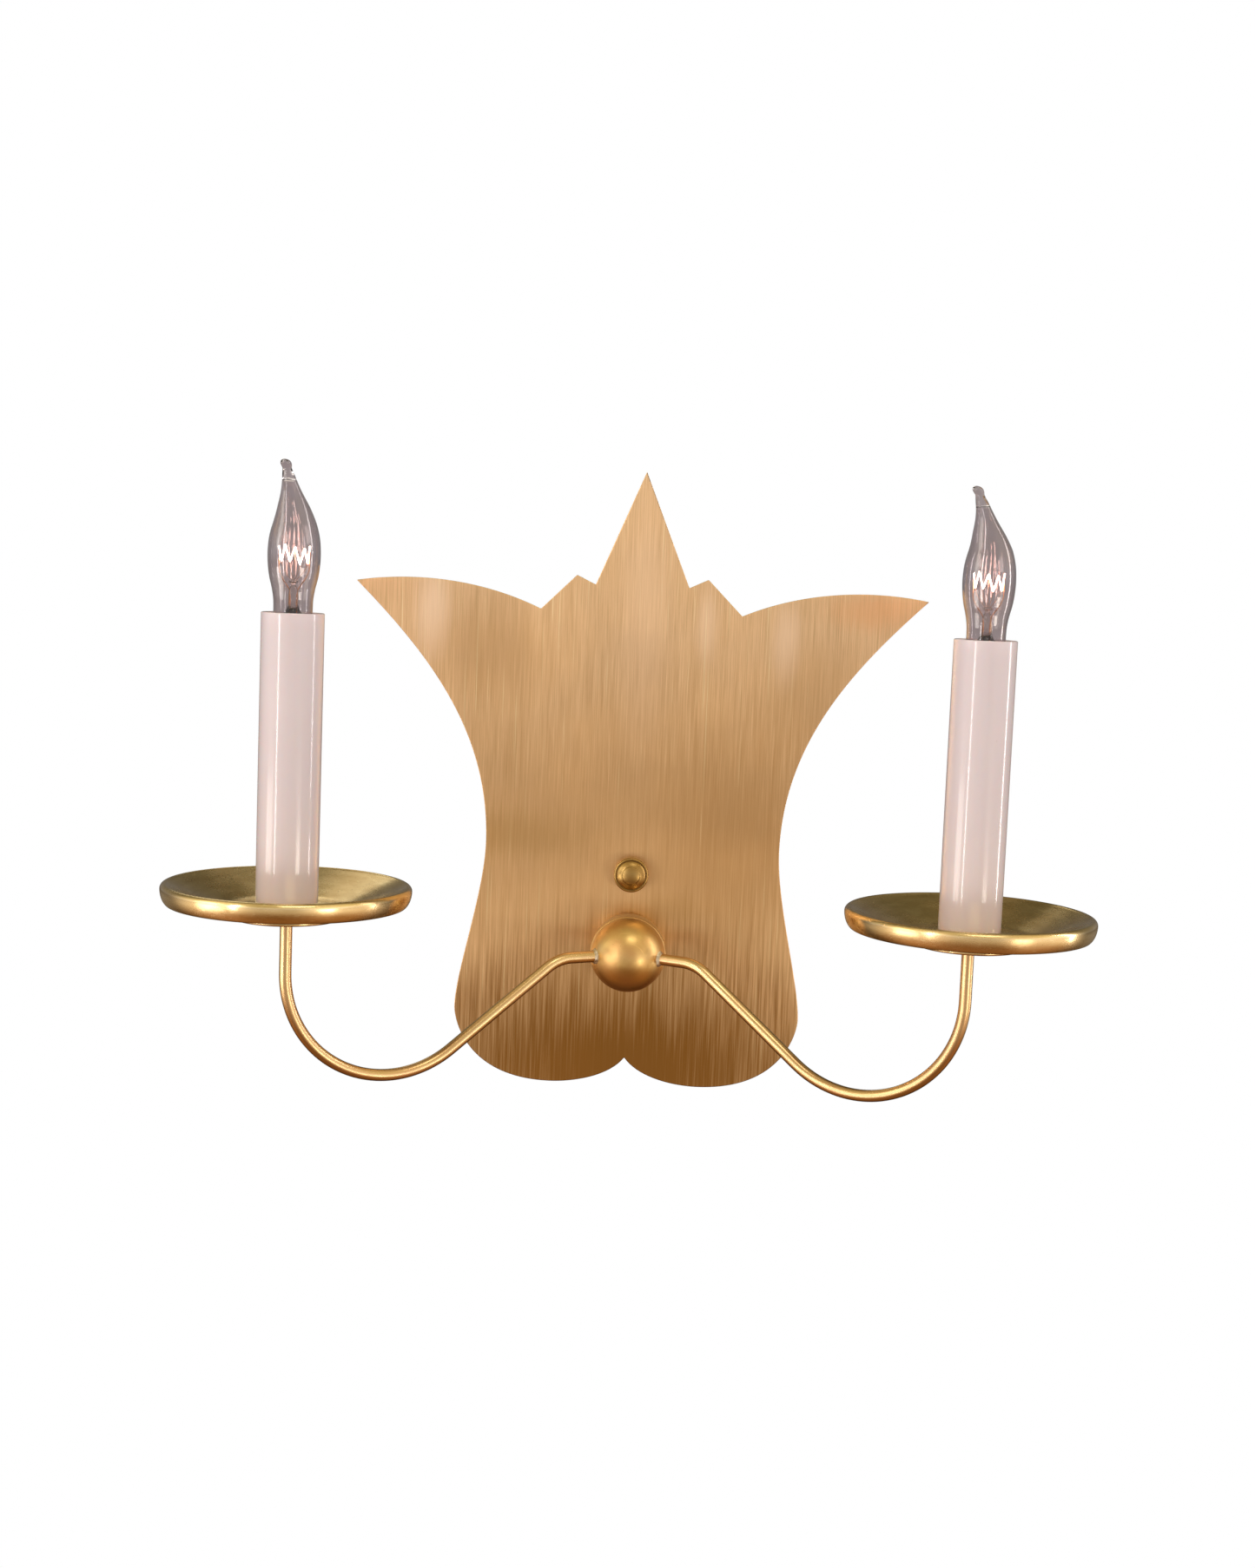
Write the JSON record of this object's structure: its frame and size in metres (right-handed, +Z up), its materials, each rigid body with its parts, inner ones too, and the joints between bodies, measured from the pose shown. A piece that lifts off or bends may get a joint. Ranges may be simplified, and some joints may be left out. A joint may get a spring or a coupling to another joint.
{
  "type": "electric candle wall sconce",
  "caption": "Brass wall sconce: a flat crown-shaped plate, a ball hub, bent tube arms with drip pans, candle sleeves and bent-tip flame lamps.",
  "frame": {"origin": "centre of the mounting strap's two slots, on the wall plane, on the axis of the nipple that the cap nut screws on", "axes": "+X to the right along the strap as seen from the room, -Y out of the wall into the room, +Z up"},
  "size_m": [0.4744, 0.1959, 0.3453],
  "materials": {
    "plate_brass": "brushed lacquered brass, vertical grain, light tarnish",
    "spun_brass": "spun lacquered brass with patches of tarnish",
    "drawn_brass": "drawn brass tube, satin",
    "plain_brass": "unlacquered stamped brass",
    "zinc_steel": "zinc-plated steel, dull",
    "solder": "soft solder, dull",
    "green_paint": "green-painted steel",
    "phenolic": "moulded phenolic",
    "ivory_sleeve": "glossy ivory plastic",
    "wire_black": "black insulation",
    "wire_white": "white insulation",
    "orange_plastic": "orange moulded shell",
    "lamp_glass": "clear glass with a slight grey-mauve cast",
    "stem_glass": "clear lead glass",
    "black_glass": "black glass insulator",
    "support_wire": "copper-clad wire",
    "tungsten": "coiled tungsten, lit warm"
  },
  "bodies": {
    "wall_mount": {"mounting_strap": "zinc_steel", "mounting_nipple": "plain_brass", "nipple_lock_nut": "zinc_steel", "ground_screw": "green_paint"},
    "fixture": {"backplate": "plate_brass", "rear_canopy": "spun_brass", "hub_nipple": "plain_brass", "hub_washer": "zinc_steel", "hub_lock_nut": "zinc_steel", "hub_rear_shell": "spun_brass", "hub_front_shell": "spun_brass", "live_connector": "orange_plastic", "neutral_connector": "orange_plastic", "arm_left": "drawn_brass", "arm_right": "drawn_brass", "solder_bead_left": "solder", "solder_bead_right": "solder", "pan_seat_left": "spun_brass", "pan_seat_right": "spun_brass", "pan_left": "spun_brass", "pan_right": "spun_brass", "pan_nut_left": "zinc_steel", "pan_nut_right": "zinc_steel", "socket_bracket_left": "zinc_steel", "socket_bracket_right": "zinc_steel", "bracket_screws_left": "zinc_steel", "bracket_screws_right": "zinc_steel", "socket_body_left": "phenolic", "socket_body_right": "phenolic", "screw_shell_left": "plain_brass", "screw_shell_right": "plain_brass", "centre_contact_left": "plain_brass", "centre_contact_right": "plain_brass", "terminal_screws_left": "plain_brass", "terminal_screws_right": "plain_brass", "live_wire_left": "wire_black", "live_wire_right": "wire_black", "neutral_wire_left": "wire_white", "neutral_wire_right": "wire_white"},
    "knob_slider": {"knob_washer": "plain_brass"},
    "cap_nut": {"domed_cap_nut": "spun_brass"},
    "candle_sleeve_left": {"sleeve_left": "ivory_sleeve"},
    "lamp_foot_left": {"bulb_insulator_left": "black_glass", "bulb_contact_left": "solder"},
    "lamp_left": {"bulb_shell_left": "plain_brass", "bulb_glass_left": "lamp_glass", "bulb_stem_left": "stem_glass", "bulb_supports_left": "support_wire", "filament_left": "tungsten"},
    "candle_sleeve_right": {"sleeve_right": "ivory_sleeve"},
    "lamp_foot_right": {"bulb_insulator_right": "black_glass", "bulb_contact_right": "solder"},
    "lamp_right": {"bulb_shell_right": "plain_brass", "bulb_glass_right": "lamp_glass", "bulb_stem_right": "stem_glass", "bulb_supports_right": "support_wire", "filament_right": "tungsten"}
  },
  "joints": [
    {"name": "plate_level", "type": "hinge", "parent": "wall_mount", "child": "fixture", "pos_m": [0, 0, 0], "axis": [0, 1, 0], "range_deg": [-10, 10]},
    {"name": "knob_travel", "type": "slide", "parent": "wall_mount", "child": "knob_slider", "axis": [0, -1, 0], "range_m": [0, 0.00942]},
    {"name": "knob_turn", "type": "hinge", "parent": "knob_slider", "child": "cap_nut", "pos_m": [0, 0, 0], "axis": [0, -1, 0], "range_deg": [0, 3600]},
    {"name": "sleeve_lift_left", "type": "slide", "parent": "fixture", "child": "candle_sleeve_left", "axis": [0, 0, 1], "range_m": [0, 0.235]},
    {"name": "lamp_rise_left", "type": "slide", "parent": "fixture", "child": "lamp_foot_left", "axis": [0, 0, 1], "range_m": [0, 0.0218]},
    {"name": "lamp_turn_left", "type": "hinge", "parent": "lamp_foot_left", "child": "lamp_left", "pos_m": [-0.17371, -0.13236, 0.13], "axis": [0, 0, 1], "range_deg": [0, 2160]},
    {"name": "sleeve_lift_right", "type": "slide", "parent": "fixture", "child": "candle_sleeve_right", "axis": [0, 0, 1], "range_m": [0, 0.235]},
    {"name": "lamp_rise_right", "type": "slide", "parent": "fixture", "child": "lamp_foot_right", "axis": [0, 0, 1], "range_m": [0, 0.0218]},
    {"name": "lamp_turn_right", "type": "hinge", "parent": "lamp_foot_right", "child": "lamp_right", "pos_m": [0.17371, -0.13236, 0.13], "axis": [0, 0, 1], "range_deg": [0, 2160]}
  ],
  "couplings": [
    {"joint": "knob_travel", "follows": "knob_turn", "m_per_rad": 0.00014972},
    {"joint": "lamp_rise_left", "follows": "lamp_turn_left", "m_per_rad": 0.0005775},
    {"joint": "lamp_rise_right", "follows": "lamp_turn_right", "m_per_rad": 0.0005775}
  ]
}
